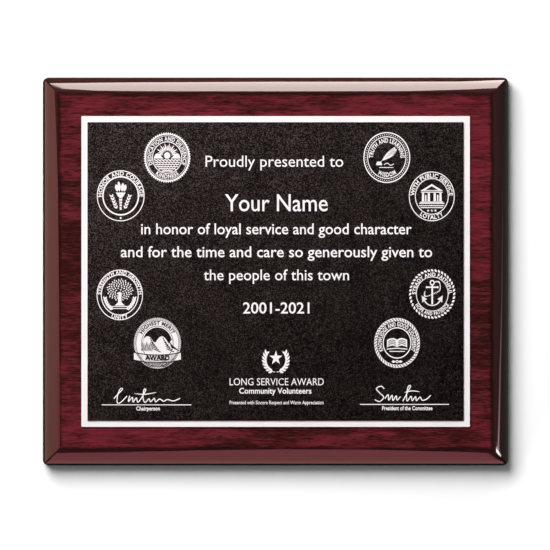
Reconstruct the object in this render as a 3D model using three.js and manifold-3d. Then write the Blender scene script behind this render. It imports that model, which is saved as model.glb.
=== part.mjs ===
// A rosewood award plaque: a wrapped board with rounded edges, a bright backing plate with a black
// engraved plate on it, a felt back, and two recessed keyhole hangers for hanging it either way round.
// Millimetres. X runs along the width, Z up the height, and +Y into the wall. The origin is the centre
// of the back face, where the felt meets the wall.
import * as THREE from "three";
import { mergeVertices } from "three/addons/utils/BufferGeometryUtils.js";
import Module from "manifold-3d";

const wasm = await Module();
wasm.setup();

// Driving dimensions.
const inch = 25.4;
const glueLine = 0.05; // clearance left between two pieces that are pressed or glued together
const overcut = 1; // how far a cutter runs past the face it opens

const board = {
  width: 12 * inch,
  height: 10 * inch,
  thickness: 19,
  roundOver: inch / 2,
  cornerRadius: 4,
};
const veneer = { thickness: 0.8 };
const felt = { thickness: 0.8, margin: 3, cornerRadius: 3 };
const backingPlate = { width: 10 * inch, height: 8 * inch, thickness: 0.8, cornerRadius: 0.6 };
const engravedPlate = { border: 4.0, thickness: 0.6, cornerRadius: 0.4 };
const foamTape = { count: 4, width: 19, length: 184, thickness: 0.5 };
const filmTape = { count: 2, width: 236, height: 40, thickness: 0.15 };
const hanger = {
  length: 46,
  width: 17,
  thickness: 1.2,
  cornerRadius: 4,
  recess: 0.4, // outer face below the back of the board
  clearance: 0.4, // pocket and felt opening around the plate's outline
  entryRadius: 4.75,
  slotWidth: 5,
  entryOffset: -5, // centre of the entry hole, along the plate
  slotEnd: 7, // centre of the slot's closed end, along the plate
  edgeDistance: 36, // centre of the plate to the edge of the board it hangs by
};
const headSpace = { width: 13, length: 27, depth: 8 }; // hollow behind the keyhole for a wall screw's head
const screw = {
  spacing: 36,
  length: 11,
  headRadius: 2.9,
  headHeight: 1.1,
  rootRadius: 1.05,
  threadRadius: 1.45,
  threads: 8,
  tipLength: 1.8,
  recessWidth: 0.7,
  recessLength: 3.2,
  recessDepth: 0.8,
  plainShank: 2.4, // under the head, before the thread starts
  pilotClearance: 0.1,
};

// Where each layer begins along Y, from the wall to the front.
const boardBack = -felt.thickness;
const boardFront = -board.thickness;
const foamBack = boardFront - glueLine;
const backingBack = foamBack - foamTape.thickness - glueLine;
const filmBack = backingBack - backingPlate.thickness - glueLine;
const engravedBack = filmBack - filmTape.thickness - glueLine;
const hangerOuter = boardBack - hanger.recess;
const hangerInner = hangerOuter - hanger.thickness;
const pocketFloor = hangerInner - glueLine;

const finishes = {
  fibreboard: new THREE.MeshStandardMaterial({ color: 0x2a2422, roughness: 0.8, metalness: 0 }),
  rosewood: new THREE.MeshStandardMaterial({ color: 0x5f2123, roughness: 0.1, metalness: 0 }),
  felt: new THREE.MeshStandardMaterial({ color: 0x17171a, roughness: 1, metalness: 0 }),
  satinSilver: new THREE.MeshStandardMaterial({ color: 0xeceae6, roughness: 0.3, metalness: 1 }),
  blackCoat: new THREE.MeshStandardMaterial({ color: 0x2a2526, roughness: 0.6, metalness: 0 }),
  adhesive: new THREE.MeshStandardMaterial({ color: 0xd9d6cc, roughness: 0.9, metalness: 0 }),
  zinc: new THREE.MeshStandardMaterial({ color: 0xb4b6ba, roughness: 0.35, metalness: 1 }),
};

// Solids and geometry.

function toSolid(geometry) {
  const bare = new THREE.BufferGeometry();
  bare.setAttribute("position", geometry.getAttribute("position"));
  if (geometry.index) bare.setIndex(geometry.index);
  const merged = mergeVertices(bare, 1e-4);
  return new wasm.Manifold(
    new wasm.Mesh({
      numProp: 3,
      vertProperties: new Float32Array(merged.getAttribute("position").array),
      triVerts: new Uint32Array(merged.index.array),
    }),
  );
}

function toGeometry(solid) {
  const made = solid.getMesh();
  const geometry = new THREE.BufferGeometry();
  geometry.setAttribute("position", new THREE.BufferAttribute(made.vertProperties, made.numProp));
  geometry.setIndex(new THREE.BufferAttribute(made.triVerts, 1));
  const flat = geometry.toNonIndexed();
  flat.computeVertexNormals();
  return flat;
}

function subtractAll(solid, cutters) {
  return cutters.reduce((left, cutter) => left.subtract(cutter), solid);
}

// A rounded rectangle centred on a point of the XZ plane.
function roundedRectangle(width, height, radius, x = 0, z = 0) {
  const [w, h] = [width / 2 - radius, height / 2 - radius];
  const shape = new THREE.Shape();
  shape.absarc(x + w, z + h, radius, 0, Math.PI / 2);
  shape.absarc(x - w, z + h, radius, Math.PI / 2, Math.PI);
  shape.absarc(x - w, z - h, radius, Math.PI, 1.5 * Math.PI);
  shape.absarc(x + w, z - h, radius, 1.5 * Math.PI, 2 * Math.PI);
  shape.closePath();
  return shape;
}

// An outline of the XZ plane given thickness from one place along Y towards the front.
function sheet(shape, back, thickness, curveSegments = 6) {
  const geometry = new THREE.ExtrudeGeometry(shape, {
    depth: thickness,
    bevelEnabled: false,
    curveSegments,
  });
  geometry.rotateX(Math.PI / 2);
  geometry.translate(0, back, 0);
  return geometry;
}

// A round profile of [radius, distance] points turned about the Y axis, distance running to the front.
function turned(profile, segments) {
  const points = profile.map(([radius, distance]) => new THREE.Vector2(radius, distance));
  const geometry = new THREE.LatheGeometry(points, segments);
  geometry.rotateX(Math.PI);
  return geometry;
}

// The board's outer form, shrunk by an inset: mitred rounded-over front edges, with the four upright
// corners eased to a small radius.
function boardForm(inset) {
  const width = board.width - 2 * inset;
  const height = board.height - 2 * inset;
  const round = board.roundOver - inset;
  const front = boardFront + inset;
  const wall = boardBack - front - round;
  const face = new THREE.Shape();
  const [w, h] = [width / 2 - round, height / 2 - round];
  face.moveTo(-w, -h).lineTo(w, -h).lineTo(w, h).lineTo(-w, h).closePath();
  const mitred = new THREE.ExtrudeGeometry(face, {
    depth: 2 * wall,
    bevelThickness: round,
    bevelSize: round,
    bevelSegments: 10,
  });
  mitred.rotateX(Math.PI / 2);
  mitred.translate(0, boardBack + wall, 0);
  const outline = roundedRectangle(width, height, board.cornerRadius - inset);
  const eased = sheet(outline, boardBack, board.thickness, 5);
  return toSolid(mitred).intersect(toSolid(eased));
}

// Hangers. Each is drawn upright about its own centre, its slot running up towards the edge of the board.

const hangers = [
  { name: "landscape", x: 0, z: board.height / 2 - hanger.edgeDistance, turn: 0 },
  { name: "portrait", x: board.width / 2 - hanger.edgeDistance, z: 0, turn: Math.PI / 2 },
];

function keyholePath() {
  const half = hanger.slotWidth / 2;
  const mouth = Math.asin(half / hanger.entryRadius);
  const path = new THREE.Path();
  path.absarc(0, hanger.entryOffset, hanger.entryRadius, Math.PI / 2 + mouth, 2.5 * Math.PI - mouth);
  path.absarc(0, hanger.slotEnd, half, 0, Math.PI);
  path.closePath();
  return path;
}

function placedAt({ x, z, turn }, geometry) {
  return geometry.clone().rotateY(turn).translate(x, 0, z);
}

function screwPlaces() {
  return [-1, 1].map((side) => (side * screw.spacing) / 2);
}

function hangerPlate() {
  const outline = roundedRectangle(hanger.width, hanger.length, hanger.cornerRadius);
  outline.holes.push(keyholePath());
  const blank = toSolid(sheet(outline, hangerOuter, hanger.thickness, 8));
  const seat = hanger.thickness + overcut;
  const countersink = turned(
    [
      [0, -overcut],
      [screw.headRadius + 0.1 + overcut, -overcut],
      [screw.headRadius + 0.1, 0],
      [screw.threadRadius + 0.25, screw.headHeight],
      [screw.threadRadius + 0.25, seat],
      [0, seat],
    ],
    20,
  ).translate(0, hangerOuter, 0);
  const holes = screwPlaces().map((z) => toSolid(countersink.clone().translate(0, 0, z)));
  return toGeometry(subtractAll(blank, holes));
}

// The pocket that the plate drops into, the hollow behind its keyhole and its two pilot holes.
function hangerPocket(place) {
  const fit = 2 * hanger.clearance;
  const pocket = sheet(
    roundedRectangle(hanger.width + fit, hanger.length + fit, hanger.cornerRadius),
    boardBack + overcut,
    boardBack + overcut - pocketFloor,
  );
  const middle = (hanger.entryOffset + hanger.slotEnd) / 2;
  const hollow = sheet(
    roundedRectangle(headSpace.width, headSpace.length, headSpace.width / 2 - 0.01, 0, middle),
    pocketFloor + overcut,
    headSpace.depth + overcut,
  );
  const pilotRadius = screw.threadRadius + screw.pilotClearance;
  const pilot = turned(
    [
      [0, -overcut],
      [pilotRadius, -overcut],
      [pilotRadius, screw.length],
      [0, screw.length],
    ],
    12,
  ).translate(0, pocketFloor, 0);
  const pilots = screwPlaces().map((z) => pilot.clone().translate(0, 0, z));
  return [pocket, hollow, ...pilots].map((cutter) => toSolid(placedAt(place, cutter)));
}

// A countersunk wood screw: cross recess, tapering head, ridged shank and a point.
function hangerScrew() {
  const profile = [
    [0, 0],
    [screw.headRadius, 0],
    [screw.rootRadius, screw.headHeight + 0.35],
  ];
  const threadedLength = screw.length - screw.tipLength - screw.plainShank;
  const pitch = threadedLength / screw.threads;
  for (let thread = 0; thread < screw.threads; thread += 1) {
    const start = screw.plainShank + thread * pitch;
    profile.push([screw.rootRadius, start], [screw.threadRadius, start + pitch / 2]);
  }
  profile.push([screw.rootRadius, screw.length - screw.tipLength], [0, screw.length]);
  const body = toSolid(turned(profile, 20));
  const arms = [0, Math.PI / 2].map((turn) => {
    const arm = new THREE.BoxGeometry(screw.recessLength, 2 * screw.recessDepth, screw.recessWidth);
    return toSolid(arm.rotateY(turn));
  });
  return toGeometry(subtractAll(body, arms)).translate(0, hangerOuter - 0.05, 0);
}

// Pieces.

function coreBoard() {
  const form = boardForm(veneer.thickness + glueLine);
  return toGeometry(subtractAll(form, hangers.flatMap(hangerPocket)));
}

function rosewoodVeneer() {
  const backOpening = sheet(
    roundedRectangle(
      board.width - 2 * veneer.thickness,
      board.height - 2 * veneer.thickness,
      board.cornerRadius - veneer.thickness,
    ),
    boardBack + overcut,
    2 * overcut,
    5,
  );
  return toGeometry(subtractAll(boardForm(0), [boardForm(veneer.thickness), toSolid(backOpening)]));
}

function backFelt() {
  const outline = roundedRectangle(
    board.width - 2 * felt.margin,
    board.height - 2 * felt.margin,
    felt.cornerRadius,
  );
  const blank = toSolid(sheet(outline, 0, felt.thickness - glueLine));
  const fit = 2 * hanger.clearance;
  const opening = sheet(
    roundedRectangle(hanger.width + fit, hanger.length + fit, hanger.cornerRadius),
    overcut,
    felt.thickness + 2 * overcut,
  );
  return toGeometry(subtractAll(blank, hangers.map((place) => toSolid(placedAt(place, opening)))));
}

function backingPlateSheet() {
  const { width, height, cornerRadius, thickness } = backingPlate;
  return sheet(roundedRectangle(width, height, cornerRadius), backingBack, thickness);
}

function engravedPlateSheet() {
  const { border, cornerRadius, thickness } = engravedPlate;
  const outline = roundedRectangle(
    backingPlate.width - 2 * border,
    backingPlate.height - 2 * border,
    cornerRadius,
  );
  return sheet(outline, engravedBack, thickness);
}

// Upright strips of foam tape, spaced evenly across the back of the backing plate.
function foamTapeStrip(index) {
  const pitch = backingPlate.width / foamTape.count;
  const x = (index - (foamTape.count - 1) / 2) * pitch;
  const outline = roundedRectangle(foamTape.width, foamTape.length, 0.5, x, 0);
  return sheet(outline, foamBack, foamTape.thickness, 2);
}

// Two wide bands of adhesive film, one behind each half of the engraved plate.
function filmTapeBand(index) {
  const z = (index - (filmTape.count - 1) / 2) * (backingPlate.height / filmTape.count);
  const outline = roundedRectangle(filmTape.width, filmTape.height, 0.5, 0, z);
  return sheet(outline, filmBack, filmTape.thickness, 2);
}

const plaque = new THREE.Group();

function add(name, geometry, material, place = { x: 0, z: 0, turn: 0 }) {
  const mesh = new THREE.Mesh(geometry, material);
  mesh.name = name;
  mesh.position.set(place.x, 0, place.z);
  mesh.rotation.y = place.turn;
  plaque.add(mesh);
}

add("core_board", coreBoard(), finishes.fibreboard);
add("rosewood_veneer", rosewoodVeneer(), finishes.rosewood);
add("back_felt", backFelt(), finishes.felt);
add("backing_plate", backingPlateSheet(), finishes.satinSilver);
add("engraved_plate", engravedPlateSheet(), finishes.blackCoat);
for (let index = 0; index < foamTape.count; index += 1) {
  add(`foam_tape_${index + 1}`, foamTapeStrip(index), finishes.adhesive);
}
for (let index = 0; index < filmTape.count; index += 1) {
  add(`film_tape_${index + 1}`, filmTapeBand(index), finishes.adhesive);
}
for (const place of hangers) {
  add(`${place.name}_hanger`, hangerPlate(), finishes.zinc, place);
  screwPlaces().forEach((z, index) => {
    const screwGeometry = hangerScrew().translate(0, 0, z);
    add(`${place.name}_hanger_screw_${index + 1}`, screwGeometry, finishes.zinc, place);
  });
}

export default plaque;
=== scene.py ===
from math import acos, cos, pi, radians, sin, sqrt

import bmesh
import bpy
from mathutils import Matrix, Vector


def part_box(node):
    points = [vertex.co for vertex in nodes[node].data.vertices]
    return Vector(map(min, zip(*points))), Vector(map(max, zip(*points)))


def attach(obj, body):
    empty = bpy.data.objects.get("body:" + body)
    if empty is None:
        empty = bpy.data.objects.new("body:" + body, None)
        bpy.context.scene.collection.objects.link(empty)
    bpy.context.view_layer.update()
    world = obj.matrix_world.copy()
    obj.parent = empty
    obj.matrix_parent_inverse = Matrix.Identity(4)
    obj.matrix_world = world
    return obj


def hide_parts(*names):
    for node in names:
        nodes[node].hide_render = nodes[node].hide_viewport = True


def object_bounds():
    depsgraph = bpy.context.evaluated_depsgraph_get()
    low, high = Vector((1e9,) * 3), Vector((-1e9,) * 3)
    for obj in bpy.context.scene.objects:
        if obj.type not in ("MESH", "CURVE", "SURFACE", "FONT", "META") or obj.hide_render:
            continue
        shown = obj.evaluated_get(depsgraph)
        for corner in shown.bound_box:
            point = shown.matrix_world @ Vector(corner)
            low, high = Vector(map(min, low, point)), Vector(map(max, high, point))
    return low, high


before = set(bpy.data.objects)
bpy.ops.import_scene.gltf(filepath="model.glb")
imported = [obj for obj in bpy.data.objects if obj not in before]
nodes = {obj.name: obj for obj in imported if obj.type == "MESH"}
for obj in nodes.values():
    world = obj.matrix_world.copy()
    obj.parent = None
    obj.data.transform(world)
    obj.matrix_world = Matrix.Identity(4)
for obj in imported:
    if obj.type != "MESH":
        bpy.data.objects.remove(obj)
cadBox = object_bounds()
scene = bpy.context.scene
mm = 0.001
print("frame loaded:", len(nodes), "parts")

# Everything is upright: x runs to the right, z up, and the plaque faces -y.


# Meshes and objects

def addObject(name, data):
    thing = bpy.data.objects.new(name, data)
    scene.collection.objects.link(thing)
    return thing


def boxOf(nodeName):
    # the part's low and high corners
    return [Vector(corner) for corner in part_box(nodeName)]


def placePiece(name, mesh, finish):
    piece = addObject(name, mesh)
    mesh.materials.clear()
    mesh.materials.append(finish)
    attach(piece, "root")
    return piece


def meshFrom(bm, name, outward=True):
    if outward:
        bmesh.ops.recalc_face_normals(bm, faces=bm.faces)
    mesh = bpy.data.meshes.new(name)
    bm.to_mesh(mesh)
    bm.free()
    return mesh


def applyModifiers(piece):
    depsgraph = bpy.context.evaluated_depsgraph_get()
    finished = bpy.data.meshes.new_from_object(piece.evaluated_get(depsgraph))
    piece.modifiers.clear()
    piece.data = finished


def copyOfPart(nodeName, pieceName, finish):
    # the part's own shape, welded so that its edges can be softened
    bm = bmesh.new()
    bm.from_mesh(nodes[nodeName].data)
    bmesh.ops.remove_doubles(bm, verts=bm.verts, dist=0.002 * mm)
    bmesh.ops.dissolve_limit(bm, angle_limit=0.01, verts=bm.verts, edges=bm.edges)
    piece = placePiece(pieceName, meshFrom(bm, pieceName), finish)
    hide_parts(nodeName)
    return piece


def softenEdges(piece, width, segments=2):
    bevel = piece.modifiers.new("softEdges", "BEVEL")
    bevel.width = width
    bevel.segments = segments
    bevel.limit_method = "ANGLE"
    bevel.angle_limit = radians(35)
    applyModifiers(piece)
    piece.data.shade_smooth()
    # long faces keep their own direction, so that reflections run straight up to every edge
    piece.modifiers.new("evenShading", "WEIGHTED_NORMAL").mode = "FACE_AREA"
    applyModifiers(piece)


# Materials

def newFinish(name):
    material = bpy.data.materials.new(name)
    material.use_nodes = True
    tree = material.node_tree
    return material, tree, tree.nodes["Principled BSDF"]


def setSockets(node, values):
    # a plain value is set on the socket, and another node's output is linked to it
    for key, value in values.items():
        if hasattr(value, "links"):
            node.id_data.links.new(value, node.inputs[key])
        else:
            node.inputs[key].default_value = value


def addNode(tree, kind, inputs=None, **settings):
    node = tree.nodes.new("ShaderNode" + kind)
    for key, value in settings.items():
        setattr(node, key, value)
    setSockets(node, inputs or {})
    return node


def objectPlace(tree):
    # where a point lies on the upright plaque, in metres
    return addNode(tree, "TexCoord").outputs["Object"]


def placeParts(tree):
    return addNode(tree, "SeparateXYZ", {"Vector": objectPlace(tree)}).outputs


def noiseIn(tree, size, detail=3.0, roughness=0.5, distortion=0.0):
    # size is how far one patch reaches in metres: all round, or along x, y and z
    size = size if hasattr(size, "__len__") else (size, size, size)
    scale = [1 / length for length in size]
    place = addNode(tree, "Mapping", {"Vector": objectPlace(tree), "Scale": scale}).outputs["Vector"]
    kind = {"Scale": 1.0, "Detail": detail, "Roughness": roughness, "Distortion": distortion}
    return addNode(tree, "TexNoise", {"Vector": place, **kind}).outputs["Fac"]


def ramp(tree, factor, stops):
    # stops are (position, grey or colour) from low to high
    node = addNode(tree, "ValToRGB", {"Fac": factor})
    elements = node.color_ramp.elements
    while len(elements) < len(stops):
        elements.new(0.5)
    for element, (position, colour) in zip(elements, stops):
        element.position = position
        element.color = (*colour, 1) if hasattr(colour, "__len__") else (colour, colour, colour, 1)
    return node.outputs["Color"]


def mathNode(tree, operation, first, second):
    return addNode(tree, "Math", {0: first, 1: second}, operation=operation).outputs["Value"]


def blend(tree, parts):
    # the sum of a few noises, each times its share
    total = None
    for factor, share in parts:
        part = mathNode(tree, "MULTIPLY", factor, share)
        total = part if total is None else mathNode(tree, "ADD", total, part)
    return total


def mixColours(tree, factor, first, second, way="MIX"):
    # the colours are both outputs, or the second is plain
    second = (*second, 1) if isinstance(second, tuple) else second
    inputs = {0: factor, 6: first, 7: second}
    return addNode(tree, "Mix", inputs, data_type="RGBA", blend_type=way).outputs[2]


def bump(tree, shader, height, strength, distance, socket="Normal"):
    relief = {"Height": height, "Strength": strength, "Distance": distance}
    setSockets(shader, {socket: addNode(tree, "Bump", relief).outputs["Normal"]})


rosewoodLook = {
    # colours, then the size of each kind of figure along x, y and z
    "crimson": (0.165, 0.0178, 0.0282),
    "red": (0.118, 0.0168, 0.0212),
    "brown": (0.072, 0.0128, 0.0128),
    "pore": (0.022, 0.0036, 0.0036),
    "zoneSize": (70 * mm, 30 * mm, 30 * mm),
    "patchSize": (26 * mm, 8 * mm, 8 * mm),
    "figureSize": (24 * mm, 2.0 * mm, 2.0 * mm),
    "grainSize": (10 * mm, 0.85 * mm, 0.85 * mm),
    "fleckSize": (5 * mm, 0.65 * mm, 0.65 * mm),
    # how dark the fine streaks are, then (x, z), reach and strength of the redder and browner places
    "streaks": [(0.38, (0.54, 0.42, 0.42)), (0.5, (0.81, 0.74, 0.74)), (0.61, (1.0, 1.0, 1.0))],
    "redPatches": [((0.135, 0.095), 0.085, 0.1), ((-0.14, -0.115), 0.04, 0.05)],
    "darkPatches": [((0.15, -0.05), 0.065, 0.13), ((-0.145, 0.02), 0.115, 0.13)],
    "coatRoughness": 0.025,
    "ripple": 0.12,
    # the rim's stain and shade, by how far in from the rim as a share of its reach
    "stain": (0.038, 0.0098, 0.0095),
    "stained": [(0.67, 1.0), (0.83, 0.0)],
    "rimShade": [
        (0.0, 0.42), (0.17, 0.52), (0.42, 0.85), (0.6, 0.9),
        (0.68, 0.5), (0.75, 0.42), (0.82, 0.75), (0.88, 1.0),
    ],
    "rimReach": 15 * mm,
    "rimWander": 5 * mm,
    "wanderSize": 20 * mm,
}


def fromRim(tree, look):
    # how far in from the rim a point lies, as a share of the reach, with a wandering edge
    high = boxOf("rosewood_veneer")[1]
    place = placeParts(tree)
    inset = [
        mathNode(tree, "SUBTRACT", edge, mathNode(tree, "ABSOLUTE", place[axis], 0.0))
        for axis, edge in (("X", high.x), ("Z", high.z))
    ]
    nearest = mathNode(tree, "MINIMUM", *inset)
    wobble = mathNode(tree, "SUBTRACT", noiseIn(tree, look["wanderSize"], 5.0, 0.6), 0.5)
    moved = mathNode(tree, "ADD", nearest, mathNode(tree, "MULTIPLY", wobble, look["rimWander"]))
    return mathNode(tree, "DIVIDE", moved, look["rimReach"])


def softPatch(tree, centre, reach):
    # a round patch that fades from one at its centre to nothing at its reach
    ends = {0: objectPlace(tree), 1: (centre[0], 0, centre[1])}
    apart = addNode(tree, "VectorMath", ends, operation="DISTANCE").outputs["Value"]
    return ramp(tree, mathNode(tree, "DIVIDE", apart, reach), [(0.0, 1.0), (1.0, 0.0)])


def makeRosewood():
    look = rosewoodLook
    material, tree, shader = newFinish("lacqueredRosewood")
    zones = noiseIn(tree, look["zoneSize"], 3.0, 0.55, 0.6)
    patches = noiseIn(tree, look["patchSize"], 3.0, 0.55, 0.6)
    figure = noiseIn(tree, look["figureSize"], 4.0, 0.6, 0.2)
    grain = noiseIn(tree, look["grainSize"], 3.0, 0.6)
    flecks = noiseIn(tree, look["fleckSize"], 3.0, 0.6)
    tone = [(zones, 0.35), (patches, 0.35), (figure, 0.3)]
    tone += [(softPatch(tree, centre, reach), share) for centre, reach, share in look["redPatches"]]
    tone += [(softPatch(tree, centre, reach), -share) for centre, reach, share in look["darkPatches"]]
    tone = blend(tree, tone)
    colour = ramp(tree, tone, [(0.41, look["brown"]), (0.49, look["red"]), (0.6, look["crimson"])])
    # light and dark streaks run along the board
    streaks = blend(tree, [(figure, 0.35), (grain, 0.65)])
    colour = mixColours(tree, 1.0, colour, ramp(tree, streaks, look["streaks"]), "MULTIPLY")
    # dark pores crowd together in the browner wood
    crowd = mathNode(tree, "SUBTRACT", flecks, mathNode(tree, "MULTIPLY", tone, 0.9))
    pores = ramp(tree, mathNode(tree, "ADD", crowd, 0.45), [(0.5, 0.0), (0.64, 1.0)])
    colour = mixColours(tree, mathNode(tree, "MULTIPLY", pores, 0.85), colour, look["pore"])
    # the rounded rim is toned with stain, which hides the figure there, and rimShade lays painted shade
    # over the round-over
    inset = fromRim(tree, look)
    colour = mixColours(tree, ramp(tree, inset, look["stained"]), colour, look["stain"])
    colour = mixColours(tree, 1.0, colour, ramp(tree, inset, look["rimShade"]), "MULTIPLY")
    setSockets(shader, {"Base Color": colour, "Roughness": 0.45, "Specular IOR Level": 0.04})
    setSockets(shader, {"Coat Weight": 1.0, "Coat Roughness": look["coatRoughness"], "Coat IOR": 1.5})
    ripple = noiseIn(tree, 60 * mm, 2.0, 0.4)
    bump(tree, shader, ripple, look["ripple"], 1.2 * mm, "Coat Normal")
    bump(tree, shader, flecks, 0.15, 0.1 * mm)
    return material


def twoToneFinish(name, look):
    # a finish that wanders between two colours with a blend of noises
    material, tree, shader = newFinish(name)
    noises = [(noiseIn(tree, *noise), share) for *noise, share in look["noises"]]
    tone = blend(tree, noises) if len(noises) > 1 else noises[0][0]
    setSockets(shader, {"Base Color": ramp(tree, tone, look["colours"]), **look["sockets"]})
    kind, strength, depth = look["relief"]
    bump(tree, shader, tone if kind == "all" else noises[0][0], strength, depth)
    return material


# Noises are patch size, detail, roughness, distortion and share. Relief comes from the first noise or all
# of them, with a strength and a depth.

silverLook = {
    "noises": [((30 * mm, 0.25 * mm, 0.25 * mm), 3.0, 0.6, 0.0, 0.5), (18 * mm, 2.0, 0.5, 0.0, 0.5)],
    "colours": [(0.38, (0.9, 0.865, 0.875)), (0.6, (0.97, 0.935, 0.945))],
    "relief": ("first", 0.2, 0.03 * mm),
    "sockets": {"Metallic": 0.25, "Roughness": 0.5, "Specular IOR Level": 0.4},
}

fibreboardLook = {
    "noises": [((2.2 * mm, 0.5 * mm, 0.8 * mm), 5.0, 0.7, 1.2, 1.0)],
    "colours": [(0.35, (0.012, 0.008, 0.006)), (0.65, (0.06, 0.038, 0.026))],
    "relief": ("all", 0.5, 0.15 * mm),
    "sockets": {"Roughness": 0.85, "Specular IOR Level": 0.2},
}

feltLook = {
    "noises": [(0.5 * mm, 5.0, 0.75, 2.5, 0.7), (5 * mm, 4.0, 0.6, 1.5, 0.3)],
    "colours": [(0.38, (0.0015, 0.0015, 0.0018)), (0.66, (0.017, 0.017, 0.019))],
    "relief": ("all", 0.8, 0.25 * mm),
    "sockets": {"Roughness": 1.0, "Specular IOR Level": 0.1, "Sheen Weight": 0.06, "Sheen Roughness": 0.6},
}

tapeLook = {
    "noises": [(0.6 * mm, 4.0, 0.7, 0.0, 1.0)],
    "colours": [(0.35, (0.55, 0.54, 0.5)), (0.65, (0.8, 0.78, 0.73))],
    "relief": ("all", 0.4, 0.1 * mm),
    "sockets": {"Roughness": 0.9},
}


blackLook = {
    # the sandy coat's darkest and lightest, and which way a painted sheen lightens it
    "hollow": (0.0004, 0.0003, 0.0004),
    "grain": (0.118, 0.084, 0.0765),
    "grainSize": 0.75 * mm,
    "bumpStrength": 0.6,
    "slope": (-2.4, 3.4),
    "paintedSheen": [(0.0, 0.28), (0.25, 0.38), (0.5, 0.52), (0.75, 0.72), (1.0, 1.0)],
}


def makeBlackCoat():
    look = blackLook
    material, tree, shader = newFinish("sandyBlackCoat")
    sand = noiseIn(tree, look["grainSize"], 2.0, 0.6)
    fine = noiseIn(tree, look["grainSize"] / 2.3, 2.0, 0.6)
    clouds = noiseIn(tree, 16 * mm, 2.0)
    height = blend(tree, [(sand, 0.64), (fine, 0.3), (clouds, 0.06)])
    colour = ramp(tree, height, [(0.495, look["hollow"]), (0.61, look["grain"])])
    # painted sheen: the coat is drawn lighter towards the upper left, where the light comes from, and
    # darker below
    place = placeParts(tree)
    slope = blend(tree, [(place["X"], look["slope"][0]), (place["Z"], look["slope"][1])])
    paintedSheen = ramp(tree, mathNode(tree, "ADD", slope, 0.5), look["paintedSheen"])
    colour = mixColours(tree, 1.0, colour, paintedSheen, "MULTIPLY")
    setSockets(shader, {"Base Color": colour, "Roughness": 0.42, "Specular IOR Level": 0.12})
    bump(tree, shader, sand, look["bumpStrength"], 0.12 * mm)
    return material


zincLook = {
    "bright": (0.44, 0.445, 0.46),
    "dull": (0.25, 0.255, 0.265),
    "metallic": 0.3,
    # how deep the painted recess shade and grime reach, and how dark they get
    "recessShadeDepth": 1 * mm,
    "recessShadeAndGrime": [(0.04, 1.0), (0.2, 0.12)],
}


def makeZinc():
    look = zincLook
    material, tree, shader = newFinish("zincPlatedSteel")
    spangle = noiseIn(tree, 3 * mm, 4.0, 0.6, 0.8)
    rolling = noiseIn(tree, (0.3 * mm, 0.3 * mm, 12 * mm), 3.0, 0.6)
    tone = blend(tree, [(spangle, 0.6), (rolling, 0.4)])
    colour = ramp(tree, tone, [(0.35, look["dull"]), (0.65, look["bright"])])
    # painted shade with a little grime darkens what lies deeper than the hangers' faces, such as the
    # screws' recesses
    face = boxOf("landscape_hanger")[1].y
    below = mathNode(tree, "SUBTRACT", face, placeParts(tree)["Y"])
    depth = mathNode(tree, "DIVIDE", below, look["recessShadeDepth"])
    colour = mixColours(tree, 1.0, colour, ramp(tree, depth, look["recessShadeAndGrime"]), "MULTIPLY")
    shine = ramp(tree, spangle, [(0.3, 0.42), (0.7, 0.26)])
    setSockets(shader, {"Base Color": colour, "Roughness": shine, "Metallic": look["metallic"]})
    bump(tree, shader, rolling, 0.15, 0.03 * mm)
    return material


rosewood = makeRosewood()
satinSilver = twoToneFinish("satinSilver", silverLook)
blackCoat = makeBlackCoat()
fibreboard = twoToneFinish("darkFibreboard", fibreboardLook)
feltCloth = twoToneFinish("blackFelt", feltLook)
zinc = makeZinc()
whiteTape = twoToneFinish("whiteTape", tapeLook)
print("finishes made")


# The lacquered board: round-overs that meet in mitres, and upright corners eased to a small radius.

boardShape = {
    "edgeRadius": 12.7 * mm,
    "cornerRadius": 4.0 * mm,
    "skin": 0.8 * mm,
    "roundSteps": 30,
    "cornerSteps": 8,
    "mitreRadius": 0.75 * mm,
    "backSoftening": 0.5 * mm,
}


def boardRing(halfWidth, halfHeight, inset, cornerRadius):
    # the four sides shrunk by the inset, with eased corners where those still reach, and further in
    # with slightly rounded mitres
    steps = boardShape["cornerSteps"]
    mitreStart = cornerRadius * (1 - cos(pi / 4))
    mitre = min(max(inset - mitreStart, 0), boardShape["mitreRadius"])
    reach = max(0.0, (cornerRadius - inset) / cornerRadius)
    start = acos(reach) if reach > cos(pi / 4) else pi / 4
    ring = []
    for turn in range(4):
        wide, tall = (halfWidth, halfHeight) if turn % 2 == 0 else (halfHeight, halfWidth)
        for step in range(steps + 1):
            if start < pi / 4:
                angle = start + (pi / 2 - 2 * start) * step / steps
                side, radius = 0, cornerRadius
            else:
                angle = pi / 2 * step / steps
                side, radius = inset, mitre
            x = wide - side - radius * (1 - cos(angle))
            z = tall - side - radius * (1 - sin(angle))
            ring.append(Matrix.Rotation(turn * pi / 2, 2) @ Vector((x, z)))
    return ring


def addBoardShell(bm, low, high, edgeRadius, cornerRadius):
    # rings from the back round the edge to the front; gives the open back ring
    halfWidth, halfHeight = (high.x - low.x) / 2, (high.z - low.z) / 2
    steps = boardShape["roundSteps"]
    levels = [(0.0, high.y)]
    for step in range(steps, -1, -1):
        tilt = pi / 2 * step / steps
        levels.append((edgeRadius * (1 - sin(tilt)), low.y + edgeRadius * (1 - cos(tilt))))
    rings = []
    for inset, y in levels:
        ring = boardRing(halfWidth, halfHeight, inset, cornerRadius)
        rings.append([bm.verts.new((x, y, z)) for x, z in ring])
    for back, front in zip(rings, rings[1:]):
        for k in range(len(back)):
            n = (k + 1) % len(back)
            bm.faces.new((back[k], back[n], front[n], front[k]))
    bm.faces.new(rings[-1])
    return rings[0]


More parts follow.
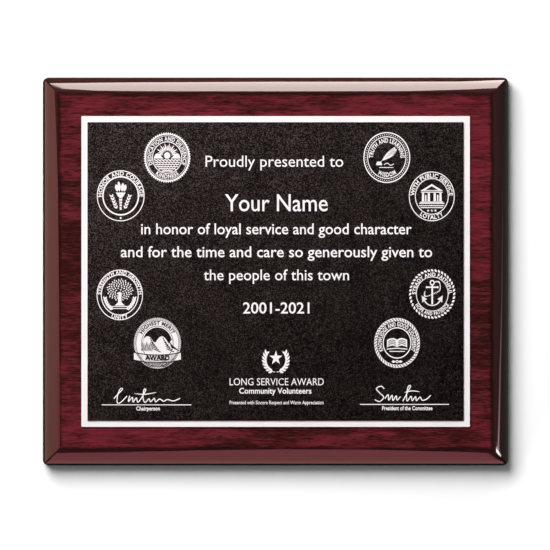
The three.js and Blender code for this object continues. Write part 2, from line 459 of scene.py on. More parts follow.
def makeBoard():
    low, high = boxOf("rosewood_veneer")
    skin, edge, corner = (boardShape[key] for key in ("skin", "edgeRadius", "cornerRadius"))
    bm = bmesh.new()
    outer = addBoardShell(bm, low, high, edge, corner)
    innerLow = low + Vector((skin, skin, skin))
    innerHigh = high - Vector((skin, 0, skin))
    inner = addBoardShell(bm, innerLow, innerHigh, edge - skin, corner - skin)
    for k in range(len(outer)):
        n = (k + 1) % len(outer)
        bm.faces.new((outer[k], outer[n], inner[n], inner[k]))
    bmesh.ops.remove_doubles(bm, verts=bm.verts, dist=0.01 * mm)
    piece = placePiece("lacqueredBoard", meshFrom(bm, "lacqueredBoard"), rosewood)
    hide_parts("rosewood_veneer")
    softenEdges(piece, boardShape["backSoftening"], 3)
    return piece


board = makeBoard()
print("board made:", len(board.data.polygons), "faces")


# Plates, core and tapes keep their shapes.

plainParts = {
    "core_board": fibreboard,
    "backing_plate": satinSilver,
    "engraved_plate": blackCoat,
    **{name: whiteTape for name in nodes if name.startswith(("foam_tape", "film_tape"))},
}
for name, finish in plainParts.items():
    for materialSlot in nodes[name].material_slots:
        materialSlot.material = finish
print("plates and tapes finished")


# Engraving. It is drawn flat in x and z as thin pieces that stand a hair above the black plate.

plateFace = boxOf("engraved_plate")[0].y
engraving = {"sunk": 0.02 * mm, "proud": 0.03 * mm, "step": 0.0006 * mm}


class Sketch:
    # flat shapes on the plate, each a hair higher than the last so that none share a plane
    def __init__(self, centre=(0, 0), scale=(1, 1), lift=0.0):
        self.bm = bmesh.new()
        self.centre = centre
        self.scale = scale
        self.height = engraving["proud"] + lift

    def vertex(self, point, height):
        x = self.centre[0] + point[0] * self.scale[0]
        z = self.centre[1] + point[1] * self.scale[1]
        return self.bm.verts.new((x, plateFace - height, z))

    def addFaces(self, points, faces):
        # prisms over flat faces: a front, a back and a wall round every open edge
        self.height += engraving["step"]
        front = [self.vertex(point, self.height) for point in points]
        back = [self.vertex(point, -engraving["sunk"]) for point in points]
        for face in faces:
            self.bm.faces.new([front[k] for k in face])
            self.bm.faces.new([back[k] for k in reversed(face)])
        edges = dict.fromkeys(pair for face in faces for pair in zip(face, (*face[1:], face[0])))
        for a, b in edges:
            if (b, a) not in edges:
                self.bm.faces.new((front[b], front[a], back[a], back[b]))

    def outline(self, points):
        self.addFaces(points, [tuple(range(len(points)))])

    def band(self, inner, outer, closed=True):
        # the strip between two lines of points
        count = len(inner)
        last = count if closed else count - 1
        faces = [(k, (k + 1) % count, count + (k + 1) % count, count + k) for k in range(last)]
        self.addFaces([*inner, *outer], faces)

    def ring(self, inner, outer, teeth=48, depth=0.0):
        # with a depth, its outer edge is toothed
        angles = [180 * k / teeth for k in range(teeth * 2)]
        rim = [polar(outer + depth * (k % 2), angle) for k, angle in enumerate(angles)]
        self.band([polar(inner, angle) for angle in angles], rim)

    def disc(self, centre, radius, steps=20):
        self.outline([shifted(polar(radius, 360 * k / steps), centre) for k in range(steps)])

    def stroke(self, points, width, tapered=False):
        left, right = [], []
        for k, point in enumerate(points):
            before, after = Vector(points[max(k - 1, 0)]), Vector(points[min(k + 1, len(points) - 1)])
            along = (after - before).normalized()
            half = width / 2
            if tapered:
                half *= 0.25 + 0.75 * sin(pi * (k + 0.5) / len(points))
            side = Vector((-along.y, along.x)) * half
            left.append(Vector(point) + side)
            right.append(Vector(point) - side)
        for k in range(len(points) - 1):
            self.band(left[k:k + 2], right[k:k + 2], closed=False)

    def leaf(self, root, length, width, angle):
        # a pointed leaf from its root, its tip at the angle in degrees
        turn = Matrix.Rotation(radians(angle), 2)
        shares = [k / 7 for k in range(8)]
        edge = [(length * share, width / 2 * sin(pi * share) ** 0.8) for share in shares]
        points = edge + [(x, -y) for x, y in edge[-2:0:-1]]
        self.outline([shifted(turn @ Vector(point), root) for point in points])

    def star(self, centre, radius):
        tips = [polar(radius * (0.4 if k % 2 else 1), 90 + 36 * k) for k in range(10)]
        self.outline([shifted(point, centre) for point in tips])

    def piece(self, name, finish=satinSilver, slotName="satin_silver"):
        return placePiece(name, meshFrom(self.bm, name), finish)


def polar(radius, degrees):
    angle = radians(degrees)
    return Vector((radius * cos(angle), radius * sin(angle)))


def shifted(point, centre):
    return (point[0] + centre[0], point[1] + centre[1])


def arc(radius, start, end, steps=24, centre=(0, 0)):
    return [shifted(polar(radius, start + (end - start) * k / steps), centre) for k in range(steps + 1)]


def smoothLine(points, steps=8):
    # a soft curve through a few points
    line = []
    for k in range(len(points) - 1):
        near = [min(max(j, 0), len(points) - 1) for j in range(k - 1, k + 3)]
        p0, p1, p2, p3 = (Vector(points[j]) for j in near)
        for step in range(steps):
            t = step / steps
            curve = 2 * p1 + (p2 - p0) * t + (2 * p0 - 5 * p1 + 4 * p2 - p3) * t * t
            line.append(0.5 * (curve + (3 * p1 - p0 - 3 * p2 + p3) * t ** 3))
    return [*line, Vector(points[-1])]


def letterMesh(words, weight, spacing):
    # the words as flat points and faces, centred, with the baseline at zero
    letters = bpy.data.curves.new("letters", "FONT")
    letters.body = words
    letters.align_x = "CENTER"
    letters.offset = weight
    letters.space_character = spacing
    letters.resolution_u = 3
    holder = addObject("letters", letters)
    mesh = bpy.data.meshes.new_from_object(holder.evaluated_get(bpy.context.evaluated_depsgraph_get()))
    points = [Vector((v.co.x, v.co.y)) for v in mesh.vertices]
    faces = [tuple(p.vertices) for p in mesh.polygons]
    bpy.data.objects.remove(holder)
    bpy.data.curves.remove(letters)
    bpy.data.meshes.remove(mesh)
    return points, faces


capitalHeight = max(point.y for point in letterMesh("H", 0.0, 1.0)[0])


def measuredWords(words, weight, spacing=1.0):
    # points with capitals one unit high and the middle at zero, the whole width, and the faces
    points, faces = letterMesh(words, weight, spacing)
    points = [point / capitalHeight for point in points]
    left, right = min(p.x for p in points), max(p.x for p in points)
    middle = (left + right) / 2
    return [(p.x - middle, p.y) for p in points], right - left, faces


def straightWords(sketch, words, centre, width, height, weight):
    points, wide, faces = measuredWords(words, weight)
    placed = [shifted((x * width / wide, y * height), centre) for x, y in points]
    sketch.addFaces(placed, faces)


def curvedWords(sketch, words, radius, height, spread, weight=0.032, below=False):
    # words bent round the centre, reading over the top, or along the bottom
    points, wide, faces = measuredWords(words, weight, 1.12)
    upward = -1 if below else 1
    placed = []
    for x, y in points:
        angle = radians(spread) * x / wide
        r = radius + upward * y * height
        placed.append((r * sin(angle), upward * r * cos(angle)))
    sketch.addFaces(placed, faces)


wording = {
    # words: centre of the line, baseline, width and capital height, all in mm, and how much bolder
    "Proudly presented to": (-0.8, 68.5, 90.1, 7.2, 0.002),
    "Your Name": (0.5, 39.5, 67.2, 10.9, 0.006),
    "in honor of loyal service and good character": (0.5, 24.4, 177.0, 7.0, 0.009),
    "and for the time and care so generously given to": (0.6, 9.4, 203.6, 7.0, 0.009),
    "the people of this town": (0.5, -5.7, 95.0, 7.0, 0.005),
    "2001-2021": (0.4, -27.4, 43.5, 7.1, 0.01),
    "LONG SERVICE AWARD": (0.7, -74.4, 61.6, 4.6, 0.0),
    "Community Volunteers": (-0.2, -79.8, 47.3, 3.6, 0.019),
    "Presented with Sincere Respect and Warm Appreciation": (0.6, -86.8, 61.4, 2.3, 0.012),
    "Chairperson": (-83.4, -90.8, 15.5, 2.5, 0.024),
    "President of the Committee": (86.1, -90.6, 33.0, 2.5, 0.026),
}


def makeWording():
    for count, (words, (x, z, width, height, weight)) in enumerate(wording.items(), 1):
        sketch = Sketch(scale=(mm, mm))
        straightWords(sketch, words, (x, z), width, height, weight)
        sketch.piece(f"wordingLine{count}")


makeWording()
print("wording made:", len(wording), "lines")


def makeMedallion(count, x, z, width, height, draw):
    place = {"centre": (x * mm, z * mm), "scale": (width / 2 * mm, height / 2 * mm)}
    bright = Sketch(**place)
    dark = Sketch(**place, lift=0.12 * mm)
    draw(bright, dark)
    bright.piece(f"medallion{count}")
    if dark.bm.faces:
        dark.piece(f"medallion{count}Shading", blackCoat, "black_coat")
    else:
        dark.bm.free()


def torch(bright, dark):
    bright.ring(0.962, 1.0)
    bright.ring(0.715, 0.775)
    curvedWords(bright, "HONOR AND COURAGE", 0.795, 0.15, 186)
    bright.disc((0, -0.87), 0.04)
    bright.outline([(-0.075, -0.02), (0.075, -0.02), (0.035, -0.55), (-0.035, -0.55)])
    bright.outline([(-0.21, 0.13), (0.21, 0.13), (0.1, -0.04), (-0.1, -0.04)])
    for x, height, lean in ((-0.13, 0.3, 104), (0.14, 0.3, 76), (-0.045, 0.42, 96), (0.055, 0.36, 83)):
        bright.leaf((x, 0.16), height, 0.14, lean)
    for side in (-1, 1):
        for k in range(5):
            root = (side * (0.16 + 0.045 * k), -0.5 + 0.11 * k)
            bright.leaf(root, 0.16, 0.065, 90 - side * 55)
            bright.leaf(root, 0.14, 0.055, 90 + side * 5)
    for z in (-0.1, -0.21, -0.32, -0.43):
        dark.stroke([(-0.07, z), (0.07, z)], 0.026)


def sunrise(bright, dark):
    bright.ring(0.895, 0.935, teeth=64, depth=0.065)
    bright.ring(0.845, 0.865)
    bright.ring(0.6, 0.635)
    curvedWords(bright, "DEDICATION AND DILIGENCE", 0.665, 0.15, 226)
    curvedWords(bright, "KINDNESS", 0.815, 0.15, 74, below=True)
    bright.disc((0, 0.08), 0.13)
    for k in range(15):
        ray = 12 * k + 6
        bright.leaf(polar(0.17, ray) + Vector((0, 0.08)), 0.24 if k % 2 else 0.33, 0.05, ray)
    hill = [(0.57, -0.04), (0.5, 0.12), (0.38, 0.16), (0.22, 0.02), (0.15, -0.04)]
    for side in (-1, 1):
        bright.outline(smoothLine([(side * x, z) for x, z in hill], 4))
    for row in range(6):
        z = -0.1 - 0.085 * row
        reach = sqrt(0.57 ** 2 - z * z)
        wave = [(-reach + 2 * reach * k / 36, z + 0.02 * sin(k * 1.35 + row * 1.9)) for k in range(37)]
        bright.stroke(wave, 0.042)


def oakTree(bright, dark):
    bright.ring(0.965, 1.0)
    bright.ring(0.775, 0.815)
    curvedWords(bright, "STRENGTH AND GROWTH", 0.825, 0.13, 178)
    curvedWords(bright, "UNITY", 0.955, 0.13, 46, below=True)
    trunk = [(-0.06, 0.1), (0.06, 0.1), (0.08, -0.3), (0.22, -0.42), (-0.22, -0.42), (-0.08, -0.3)]
    bright.outline(trunk)
    for k in range(90):
        spot = polar(0.052 * sqrt(k), 137.5 * k)
        bright.leaf((spot.x * 1.05, 0.2 + spot.y * 0.78), 0.085, 0.045, 137.5 * k)
    for side in (-1, 1):
        for k in range(6):
            root = polar(0.65, 270 + side * (28 + 9 * k))
            bright.leaf(root, 0.16, 0.075, 270 + side * (100 + 9 * k))
            bright.leaf(root, 0.14, 0.065, 270 + side * (155 + 9 * k))
    bright.stroke([(-0.42, -0.46), (0.42, -0.46)], 0.035)
    bright.stroke([(-0.3, -0.54), (0.3, -0.54)], 0.028)


def mountains(bright, dark):
    bright.disc((0, 0), 1.0, 96)
    for k in range(80):
        dark.stroke([polar(0.945, 4.5 * k), polar(0.99, 4.5 * k + 3)], 0.022)
    dark.ring(0.905, 0.925)
    banner = [(-1.0, -0.36), (-0.5, -0.44), (0, -0.46), (0.5, -0.44), (1.0, -0.36)]
    lower = [(x, z - 0.3) for x, z in banner]
    bright.band(smoothLine(banner), smoothLine(lower), closed=False)
    curvedWords(dark, "HIGHEST MERIT", 0.735, 0.14, 122, 0.036)
    dark.ring(0.665, 0.685)
    sky = [polar(0.62, 180 - 180 * k / 24) for k in range(25)]
    ground = [Vector((p.x, 0.3 * abs(sin(p.x * 5.2 + 0.6)) - 0.02)) for p in sky]
    dark.band(ground, sky, closed=False)
    for row in range(4):
        z = 0.4 + 0.055 * row
        reach = sqrt(0.6 ** 2 - z * z) * 0.8
        bright.stroke([(-reach, z), (-reach * 0.2, z + 0.02), (reach * 0.5, z - 0.01), (reach, z)], 0.02)
    for x, z in ((-0.3, 0.5), (-0.05, 0.56), (0.22, 0.5)):
        bright.leaf((x, z), 0.11, 0.05, 25)
        bright.leaf((x, z), 0.11, 0.05, 155)
    ridges = [((-0.32, 0.26), (-0.16, -0.3)), ((0.22, 0.27), (0.42, -0.3)), ((0.5, 0.1), (0.6, -0.2))]
    for peak, foot in ridges:
        for k in range(6):
            x, z = Vector(peak).lerp(Vector(foot), 0.1 + 0.15 * k)
            dark.stroke([(x, z), (x + 0.07 + 0.05 * k, z - 0.13)], 0.032)
    for k in range(9):
        x = -0.62 + 0.055 * k
        dark.stroke([(x, 0.04 - 0.05 * (k % 3)), (x - 0.06, -0.3)], 0.026)
    straightWords(dark, "AWARD", (0, -0.66), 1.05, 0.18, 0.045)
    for line in (banner, lower):
        dark.stroke(smoothLine(line), 0.034)
    for row in range(4):
        z = -0.76 - 0.05 * row
        reach = 0.88 * sqrt(1 - z * z)
        dark.stroke([(-reach + 2 * reach * k / 16, z + 0.012 * (-1) ** k) for k in range(17)], 0.026)


def featherPen(bright, dark):
    bright.ring(0.955, 1.0)
    bright.ring(0.8, 0.835)
    for k in range(60):
        bright.disc(polar(0.895, 6 * k), 0.022, 6)
    curvedWords(bright, "TRUTH AND LEARNING", 0.59, 0.165, 182)
    curvedWords(bright, "WISDOM", 0.755, 0.165, 66, below=True)
    spine = smoothLine([(-0.3, -0.2), (-0.12, -0.06), (0.1, 0.1), (0.36, 0.34)])
    bright.stroke(spine, 0.02)
    for k in range(6, len(spine) - 1):
        grow = 0.17 * sin(pi * (k - 5) / (len(spine) - 4)) + 0.03
        bright.leaf(spine[k], grow, 0.028, 85)
        bright.leaf(spine[k], grow, 0.028, -5)
    bright.outline([(-0.42, -0.16), (-0.24, -0.16), (-0.2, -0.3), (-0.46, -0.3)])
    bright.stroke(smoothLine([(-0.12, -0.28), (0.02, -0.22), (0.16, -0.3), (0.3, -0.25)]), 0.03)
    bright.stroke([(-0.32, -0.39), (0.28, -0.39)], 0.03)


def temple(bright, dark):
    bright.ring(0.962, 1.0)
    bright.ring(0.7, 0.735)
    curvedWords(bright, "WITH PUBLIC SERVICE", 0.76, 0.165, 176)
    curvedWords(bright, "LOYALTY", 0.92, 0.165, 70, below=True)
    bright.outline([(-0.5, 0.22), (0.5, 0.22), (0, 0.5)])
    dark.outline([(-0.28, 0.255), (0.28, 0.255), (0, 0.41)])
    bright.disc((0, 0.31), 0.035, 12)
    for z, reach in ((0.17, 0.47), (-0.23, 0.5), (-0.28, 0.55)):
        bright.stroke([(-reach, z), (reach, z)], 0.04)
    for x in (-0.38, -0.13, 0.13, 0.38):
        bright.outline([(x - 0.055, -0.2), (x + 0.055, -0.2), (x + 0.045, 0.14), (x - 0.045, 0.14)])
    for x in (-0.26, 0.26):
        bright.outline([(x - 0.03, -0.2), (x + 0.03, -0.2), (x + 0.03, 0.06), (x - 0.03, 0.06)])
    for row in range(2):
        z = -0.37 - 0.08 * row
        reach = sqrt(0.66 ** 2 - z * z)
        bright.stroke([(-reach + 2 * reach * k / 24, z + 0.01 * (-1) ** k) for k in range(25)], 0.038)
    for x in (-0.16, 0, 0.16):
        bright.star((x, -0.57), 0.065)


def anchor(bright, dark):
    for k in range(40):
        spot = polar(0.94, 9 * k)
        bright.leaf(shifted(spot, polar(-0.07, 9 * k + 52)), 0.145, 0.085, 9 * k + 52)
    bright.ring(0.665, 0.695)
    curvedWords(bright, "STEADY AND FAITHFUL", 0.71, 0.14, 182)
    curvedWords(bright, "HOPE AND PATIENCE", 0.85, 0.14, 118, below=True)
    bright.stroke([(0, 0.36), (0, -0.42)], 0.075)
    bright.stroke([(-0.22, 0.27), (0.22, 0.27)], 0.06)
    for side in (-1, 1):
        bright.disc((side * 0.23, 0.27), 0.045, 12)
    bright.band(arc(0.06, 0, 360, 20, (0, 0.45)), arc(0.11, 0, 360, 20, (0, 0.45)), closed=False)
    bright.band(arc(0.34, 200, 340, 24, (0, -0.1)), arc(0.42, 205, 335, 24, (0, -0.06)), closed=False)
    for side in (-1, 1):
        tip = (side * 0.45, -0.06)
        bright.outline([tip, (side * 0.22, -0.2), (side * 0.42, -0.34)])
    rope = [(0.1, 0.46), (0.3, 0.42), (0.34, 0.12), (0.06, -0.02), (-0.26, -0.08), (-0.3, 0.12)]
    for k, spot in enumerate(smoothLine(rope, 5)):
        bright.leaf(spot, 0.08, 0.04, 40 + 8 * k)


def openBook(bright, dark):
    bright.ring(0.875, 1.0)
    for k in range(48):
        dark.stroke([polar(0.89, 7.5 * k), polar(0.985, 7.5 * k + 5)], 0.03)
    bright.ring(0.585, 0.63)
    curvedWords(bright, "KNOWLEDGE AND GOOD JUDGEMENT", 0.67, 0.165, 232)
    for side in (-1, 1):
        top = smoothLine([(0, 0.13), (side * 0.14, 0.19), (side * 0.3, 0.18), (side * 0.44, 0.12)])
        foot = [(p.x, p.y - 0.3) for p in top]
        bright.band(top, foot, closed=False)
        for row in range(3):
            dark.stroke([(p.x * 0.82 + side * 0.04, p.y - 0.08 - 0.07 * row) for p in top[2:-2]], 0.026)
        bright.leaf((side * 0.06, -0.75), 0.18, 0.1, 90 - side * 90)
    bright.stroke([(-0.45, -0.25), (0, -0.21), (0.45, -0.25)], 0.04)
    bright.stroke([(-0.34, -0.34), (0.34, -0.34)], 0.035)
    bright.band(arc(0.03, 0, 360, 14, (0, -0.75)), arc(0.065, 0, 360, 14, (0, -0.75)), closed=False)


medallions = [
    # centre, width and height in mm, then what is drawn on it
    (-101.3, 49.5, 31.2, 33.4, torch),
    (-70.9, 74.5, 31.0, 33.3, sunrise),
    (-101.9, -15.3, 30.3, 33.1, oakTree),
    (-77.3, -46.9, 30.7, 33.2, mountains),
    (72.7, 74.5, 30.6, 33.3, featherPen),
    (102.1, 49.1, 30.0, 32.5, temple),
    (102.4, -14.7, 30.6, 32.8, anchor),
    (79.4, -46.7, 29.9, 32.6, openBook),
]
for count, plan in enumerate(medallions, 1):
    makeMedallion(count, *plan)
print("medallions made:", len(medallions))


emblemPlan = {"centre": (0.2, -57.7), "halfWidth": 8.5, "halfHeight": 9.4, "leaves": 8}


def makeEmblem():
    plan = emblemPlan
    x, z = plan["centre"]
    sketch = Sketch((x * mm, z * mm), (plan["halfWidth"] * mm, plan["halfHeight"] * mm))
    sketch.star((0, 0.12), 0.52)
    for side in (-1, 1):
        stem = [polar(0.86, 270 + side * (4 + 14 * k)) for k in range(plan["leaves"] + 2)]
        sketch.stroke(stem, 0.045)
        for k in range(1, plan["leaves"] + 1):
            heading = 270 + side * (4 + 14 * k) + side * 90
            sketch.leaf(stem[k], 0.34, 0.15, heading + side * 28)
            sketch.leaf(stem[k], 0.34, 0.15, heading - side * 32)
    sketch.piece("emblem")


makeEmblem()


pen = {"ruleWidth": 0.55, "lineWidth": 0.68}
signatures = {
    # the rule's ends and height, the box of the writing, and its pen strokes in hundredths of that box
    "left": {
        "rule": (-113.7, -55.1, -87.2), "box": (-105.8, -85.9, 43.4, 9.0),
        "strokes": [
            [(0, 30), (6, 62), (13, 98), (10, 102), (6, 60), (5, 5), (10, 2), (20, 50)],
            [(24, 52), (22, 10), (28, 40), (29, 6), (34, 36), (36, 5), (41, 30), (48, 92), (45.5, 96),
             (44, 40), (47, 3), (53, 30), (55.5, 8), (61, 33), (63, 7), (69, 28), (75, 12), (81, 24),
             (90, 14), (100, 34)],
            [(31, 68), (46, 62), (64, 76)],
        ],
    },
    "right": {
        "rule": (55.1, 113.4, -86.9), "box": (64.8, -85.2, 36.6, 10.2),
        "strokes": [
            [(17, 84), (11, 100), (3, 84), (9, 56), (16, 30), (9, 2), (0, 14)],
            [(18, 20), (24, 46), (25, 10), (31, 42), (32.5, 8), (38.5, 38), (40, 10), (46, 34)],
            [(50, 4), (57, 50), (64, 100), (60, 98), (57, 50), (58, 5), (65, 36), (67, 7), (73, 34),
             (74.5, 7), (81, 30), (85, 10), (93, 18), (100, 42)],
            [(53, 60), (67, 70), (80, 64)],
        ],
    },
}


def makeSignature(name, plan):
    # a rule with a pen scrawl over it, which spells nothing
    start, end, z = plan["rule"]
    x, floor, wide, tall = plan["box"]
    sketch = Sketch(scale=(mm, mm))
    sketch.stroke([(start, z), (end, z)], pen["ruleWidth"])
    for stroke in plan["strokes"]:
        line = smoothLine([(x + wide * u / 100, floor + tall * v / 100) for u, v in stroke], 6)
        sketch.stroke(line, pen["lineWidth"], tapered=len(stroke) < 5)
    sketch.piece(f"{name}Signature")


for name, plan in signatures.items():
    makeSignature(name, plan)
print("emblem and signatures made")


# The back: felt, hangers and screws.

softening = {"felt": 0.22 * mm, "hanger": 0.18 * mm}


def makeFeltBacking():
    piece = copyOfPart("back_felt", "feltBacking", feltCloth)
    softenEdges(piece, softening["felt"])


makeFeltBacking()


screwPlan = {
    # in mm, but for the numbers of threads and segments
    "headRadius": 2.9, "headHeight": 1.45, "rimInset": 0.35, "rimHeight": 0.3,
    "rootRadius": 1.05, "threadRadius": 1.42, "threads": 8,
    "length": 11.0, "plainShank": 2.4, "tip": 1.8,
    "recessWidth": 0.75, "recessReach": 1.6, "recessDepth": 0.8, "segments": 40,
}


def makeScrew(nodeName, pieceName):
    plan = screwPlan
    low, high = boxOf(nodeName)
    centre = (low + high) / 2
    profile = [
        (0.0, 0.0),
        (plan["headRadius"] - plan["rimInset"], 0.0),
        (plan["headRadius"], plan["rimHeight"]),
        (plan["rootRadius"], plan["headHeight"]),
        (plan["rootRadius"], plan["plainShank"]),
    ]
    pitch = (plan["length"] - plan["tip"] - plan["plainShank"]) / plan["threads"]
    for thread in range(plan["threads"]):
        depth = plan["plainShank"] + thread * pitch
        profile += [(plan["threadRadius"], depth + pitch / 2), (plan["rootRadius"], depth + pitch)]
    profile.append((0.0, plan["length"]))
    bm = bmesh.new()
    verts = [bm.verts.new((radius * mm, -depth * mm, 0)) for radius, depth in profile]
    edges = [bm.edges.new(pair) for pair in zip(verts, verts[1:])]
    bmesh.ops.spin(
        bm, geom=verts + edges, cent=(0, 0, 0), axis=(0, 1, 0), angle=2 * pi, steps=plan["segments"]
    )
    bmesh.ops.remove_doubles(bm, verts=bm.verts, dist=0.001 * mm)
    bmesh.ops.translate(bm, verts=bm.verts, vec=(centre.x, high.y, centre.z))
    piece = placePiece(pieceName, meshFrom(bm, pieceName), zinc)
    for turn in range(2):
        cut = bmesh.new()
        bmesh.ops.create_cube(cut, size=1.0)
        spread = (2 * plan["recessReach"] * mm, 2 * plan["recessDepth"] * mm, plan["recessWidth"] * mm)
        bmesh.ops.scale(cut, verts=cut.verts, vec=spread)
        bmesh.ops.rotate(cut, verts=cut.verts, matrix=Matrix.Rotation(turn * pi / 2, 3, "Y"))
        bmesh.ops.translate(cut, verts=cut.verts, vec=(centre.x, high.y, centre.z))
        holder = addObject("crossCutter", meshFrom(cut, "crossCutter"))
        recess = piece.modifiers.new("crossRecess", "BOOLEAN")
        recess.operation = "DIFFERENCE"
        recess.object = holder
        applyModifiers(piece)
        bpy.data.objects.remove(holder)
    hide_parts(nodeName)
    piece.data.shade_smooth()
    piece.data.set_sharp_from_angle(angle=radians(30))


for way in ("landscape", "portrait"):
    softenEdges(copyOfPart(f"{way}_hanger", f"{way}Hanger", zinc), softening["hanger"])
    for count in (1, 2):
        makeScrew(f"{way}_hanger_screw_{count}", f"{way}HangerScrew{count}")
print("back made")


# Stage: a pale cove behind and under the plaque, open behind the board and clear from the back.

cove = {
    "gap": 0.4 * mm,
    "floor": -0.3,
    "top": 2.5,
    "front": -5.0,
    "halfWidth": 4.0,
    "bend": 0.15,
    "bendSteps": 12,
    "inset": 3 * mm,
    "mottleSize": 0.4,
    "mottle": [(0.3, 0.9), (0.7, 0.93)],
    "glow": [(0.2, 0.0), (0.33, 1.0)],
}


def makeCove():
    low, high = cadBox
    wall = high.y + cove["gap"]
    bm = bmesh.new()
    profile = [(wall, cove["top"]), (wall, cove["floor"] + cove["bend"])]
    for k in range(1, cove["bendSteps"] + 1):
        turn = pi / 2 * k / cove["bendSteps"]
        forward = cove["bend"] * (1 - cos(turn))
        up = cove["bend"] * (1 - sin(turn))
        profile.append((wall - forward, cove["floor"] + up))
    profile.append((cove["front"], cove["floor"]))
    reach = cove["halfWidth"]
    columns = [-reach, low.x + cove["inset"], high.x - cove["inset"], reach]
    rows = [profile[0], (wall, high.z - cove["inset"]), (wall, low.z + cove["inset"]), *profile[1:]]
    grid = [[bm.verts.new((x, y, z)) for x in columns] for y, z in rows]
    for row in range(len(rows) - 1):
        for column in range(3):
            if (row, column) == (1, 1):
                continue  # the opening behind the board
            a, b = grid[row], grid[row + 1]
            face = bm.faces.new((a[column], b[column], b[column + 1], a[column + 1]))
            face.smooth = True
    piece = addObject("cove", meshFrom(bm, "cove", outward=False))
    material, tree, shader = newFinish("paleStage")
    colour = ramp(tree, noiseIn(tree, cove["mottleSize"], 2.0), cove["mottle"])
    setSockets(shader, {"Base Color": colour, "Roughness": 0.95, "Specular IOR Level": 0.0})
    # it glows white away from the plaque, where the lamps fall short
    apart = addNode(tree, "VectorMath", {0: objectPlace(tree)}, operation="LENGTH").outputs["Value"]
    glow = ramp(tree, apart, cove["glow"])
    setSockets(shader, {"Emission Color": (1, 1, 1, 1), "Emission Strength": glow})
    # from behind it can be seen through
    behind = addNode(tree, "NewGeometry").outputs["Backfacing"]
    clear = addNode(tree, "BsdfTransparent").outputs["BSDF"]
    either = addNode(tree, "MixShader", {"Fac": behind, 1: shader.outputs["BSDF"], 2: clear})
    setSockets(tree.nodes["Material Output"], {"Surface": either.outputs["Shader"]})
    piece.data.materials.append(material)
    piece.visible_glossy = False
    piece.visible_diffuse = False


makeCove()


# Reflector cards on arcs round the plaque's rim, which only its gloss sees. Side is where a card stands in
# the front view, 0 being the right and 90 the top. Angles count from straight in front of the rim, 90 being
# level with the face. A card runs from station to station along its side: the place in metres, the angles
# between which the card reaches there, and its brightness. Colours and shade change from the first angle to
# the last. Radius is how far off the card stands.

cardPlan = {"radius": 1.2, "rimInset": 4 * mm, "steps": 24}
cards = {
    "topCard": {
        "side": 90, "colours": [(1.0, 0.83, 0.78)], "shade": [1.0, 1.0, 1.03, 1.08],
        "stations": [
            (-0.17, 86, 88, 14), (-0.167, 80, 89, 14), (-0.163, 59, 90, 14), (-0.16, 49, 90, 14),
            (-0.143, 41.5, 92, 14), (-0.13, 37, 94, 14), (-0.093, 34, 97, 14), (0.0, 33, 102, 14),
            (0.093, 34, 103, 14), (0.134, 43, 104, 14), (0.152, 48, 109, 14), (0.162, 52, 116, 14),
            (0.18, 58, 122, 14),
        ],
    },
    "topGlow": {
        "side": 90, "colours": [(1.0, 0.34, 0.3)], "shade": [0.3, 0.3, 0.24, 0.2],
        "stations": [(-0.18, 103, 158, 1), (0.0, 106, 158, 1), (0.18, 124, 158, 1)],
    },
    "leftCard": {
        "side": 180,
        "colours": [(1.06, 0.34, 0.33), (1.04, 0.42, 0.37), (1.08, 0.54, 0.44), (1.18, 0.7, 0.56)],
        "shade": [2.4, 2.3, 2.15, 1.95, 1.7, 1.1],
        "stations": [
            (-0.149, 14, 128, 0.78), (-0.12, 14, 128, 0.8), (-0.02, 18, 128, 0.96), (0.053, 23.5, 128, 1),
            (0.09, 31, 128, 1), (0.13, 45, 128, 1), (0.17, 60, 128, 1),
        ],
    },
    "bottomCard": {
        "side": 270,
        "colours": [(0.94, 0.24, 0.28), (0.98, 0.27, 0.3), (1.0, 0.33, 0.34), (1.04, 0.4, 0.38)],
        "shade": [2.9, 2.9, 2.75, 2.5, 2.0, 1.6],
        "stations": [
            (-0.178, 44, 128, 1), (-0.148, 40, 128, 1), (-0.12, 38, 128, 1), (-0.059, 25, 128, 1),
            (0.008, 18, 128, 1), (0.07, 21, 128, 1), (0.108, 28, 128, 1), (0.134, 34, 128, 1),
            (0.149, 38, 128, 1), (0.158, 43, 128, 1), (0.1625, 60, 128, 1), (0.1655, 80, 128, 1),
            (0.17, 112, 128, 1),
        ],
    },
    "rightCard": {
        "side": 0, "colours": [(0.9, 1.0, 0.95), (1.0, 0.85, 0.85)], "shade": [0.12, 0.12, 0.22, 0.25, 0.2],
        "stations": [(-0.17, 26, 150, 0.8), (0.17, 26, 150, 1)],
    },
    "rightStrip": {
        "side": 0, "colours": [(1.0, 0.66, 0.66)], "shade": [0.0, 0.5, 1.0, 1.0, 0.5, 0.0], "radius": 1.19,
        "stations": [
            (-0.146, 48, 60, 5.0), (-0.125, 51, 66, 6.5), (-0.085, 60, 74, 3.4), (-0.021, 75, 90, 1.3),
            (0.06, 85, 97, 0.6), (0.105, 90, 101, 0.4), (0.15, 94, 104, 0.2),
        ],
    },
    "cornerGlint": {
        "side": 0, "colours": [(1.0, 0.95, 0.93)], "shade": [1.0, 1.0], "radius": 1.18,
        "stations": [
            (-0.139, 74, 78, 30), (-0.1365, 65, 76, 60), (-0.134, 52, 64, 60), (-0.1315, 44, 53, 55),
            (-0.1295, 42, 46, 35),
        ],
    },
}


def along(values, share):
    # the value at a share of the way through a short list
    place = share * (len(values) - 1)
    lower = min(int(place), max(len(values) - 2, 0))
    upper = min(lower + 1, len(values) - 1)
    return values[lower] + (values[upper] - values[lower]) * (place - lower)


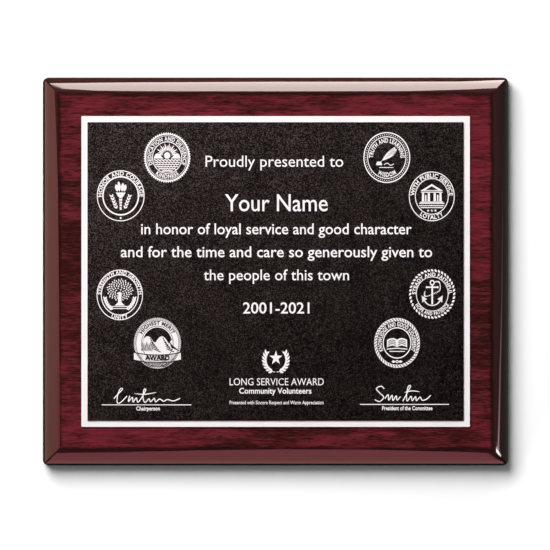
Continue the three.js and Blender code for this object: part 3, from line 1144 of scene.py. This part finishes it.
def makeCard(name, plan):
    steps, inset = cardPlan["steps"], cardPlan["rimInset"]
    radius = plan.get("radius", cardPlan["radius"])
    side = radians(plan["side"])
    outward = Vector((cos(side), 0, sin(side)))
    across = Vector((abs(outward.z), 0, abs(outward.x)))
    low, high = boxOf("rosewood_veneer")
    halfSize = outward.x ** 2 * high.x + outward.z ** 2 * high.z
    rim = outward * (halfSize - inset) + Vector((0, low.y + inset, 0))
    colours = [Vector(colour) for colour in plan["colours"]]
    bm = bmesh.new()
    glow = bm.verts.layers.float_color.new("glow")
    rows = []
    for station, first, last, strength in plan["stations"]:
        row = []
        for k in range(steps + 1):
            turn = radians(first + (last - first) * k / steps)
            spot = rim + outward * radius * sin(turn) + Vector((0, -radius * cos(turn), 0))
            vertex = bm.verts.new(spot + across * station)
            colour = along(colours, k / steps) * strength * along(plan["shade"], k / steps)
            vertex[glow] = (*colour, 1)
            row.append(vertex)
        rows.append(row)
    for one, two in zip(rows, rows[1:]):
        for k in range(steps):
            bm.faces.new((one[k], one[k + 1], two[k + 1], two[k]))
    card = addObject(name, meshFrom(bm, name, outward=False))
    material, tree, shader = newFinish(name)
    tree.nodes.clear()
    glowColour = addNode(tree, "Attribute", attribute_name="glow").outputs["Color"]
    light = addNode(tree, "Emission", {"Color": glowColour, "Strength": 1.0})
    addNode(tree, "OutputMaterial", {"Surface": light.outputs["Emission"]})
    card.data.materials.append(material)
    card.visible_camera = False
    card.visible_diffuse = False
    card.visible_shadow = False


for name, plan in cards.items():
    makeCard(name, plan)


lamps = {
    # all of them point at the plaque's middle
    "keyLamp": {"at": (-0.96, -2.0, 1.44), "size": (1.8, 1.7), "watts": 104},
    "fillLamp": {"at": (0.3, -3.0, -0.2), "size": (3.0, 3.0), "watts": 27},
    "backLamp": {"at": (1.4, 1.6, -0.75), "size": (1.2, 0.7), "watts": 60},
    "backFill": {"at": (-0.8, 2.2, 1.2), "size": (1.5, 1.5), "watts": 60},
}


def makeLamp(name, plan):
    light = bpy.data.lights.new(name, "AREA")
    light.shape = "RECTANGLE"
    light.size, light.size_y = plan["size"]
    light.energy = plan["watts"]
    lamp = addObject(name, light)
    lamp.location = plan["at"]
    lamp.rotation_euler = (-Vector(plan["at"])).to_track_quat("-Z", "Y").to_euler()
    lamp.visible_camera = False
    lamp.visible_glossy = False


for name, plan in lamps.items():
    makeLamp(name, plan)


room = {"bright": 1.0, "dim": 0.02}


def makeRoom():
    # a white room to the camera, and a dim one to the lacquer
    world = bpy.data.worlds.new("studio")
    scene.world = world
    world.use_nodes = True
    tree = world.node_tree
    seen = addNode(tree, "LightPath").outputs["Is Camera Ray"]
    extra = mathNode(tree, "MULTIPLY", seen, room["bright"] - room["dim"])
    strength = mathNode(tree, "ADD", extra, room["dim"])
    setSockets(tree.nodes["Background"], {"Strength": strength, "Color": (1, 1, 1, 1)})
    scene.view_settings.view_transform = "Standard"
    scene.view_settings.look = "None"


makeRoom()
print("stage lit")


cameraPlan = {
    # aim is x and z, and plane is the y where the view is as wide as viewWidth
    "lens": 900,
    "sensor": 36,
    "viewWidth": 360.2 * mm,
    "aim": (-0.4 * mm, -2.3 * mm),
    "plane": -6.3 * mm,
}


def makeCamera():
    plan = cameraPlan
    data = bpy.data.cameras.new("camera")
    data.lens = plan["lens"]
    data.sensor_width = plan["sensor"]
    camera = addObject("camera", data)
    away = plan["viewWidth"] * plan["lens"] / plan["sensor"]
    camera.location = (plan["aim"][0], plan["plane"] - away, plan["aim"][1])
    camera.rotation_euler = (pi / 2, 0, 0)
    data.clip_start, data.clip_end = 0.05, 50
    scene.camera = camera


makeCamera()
print("scene ready")
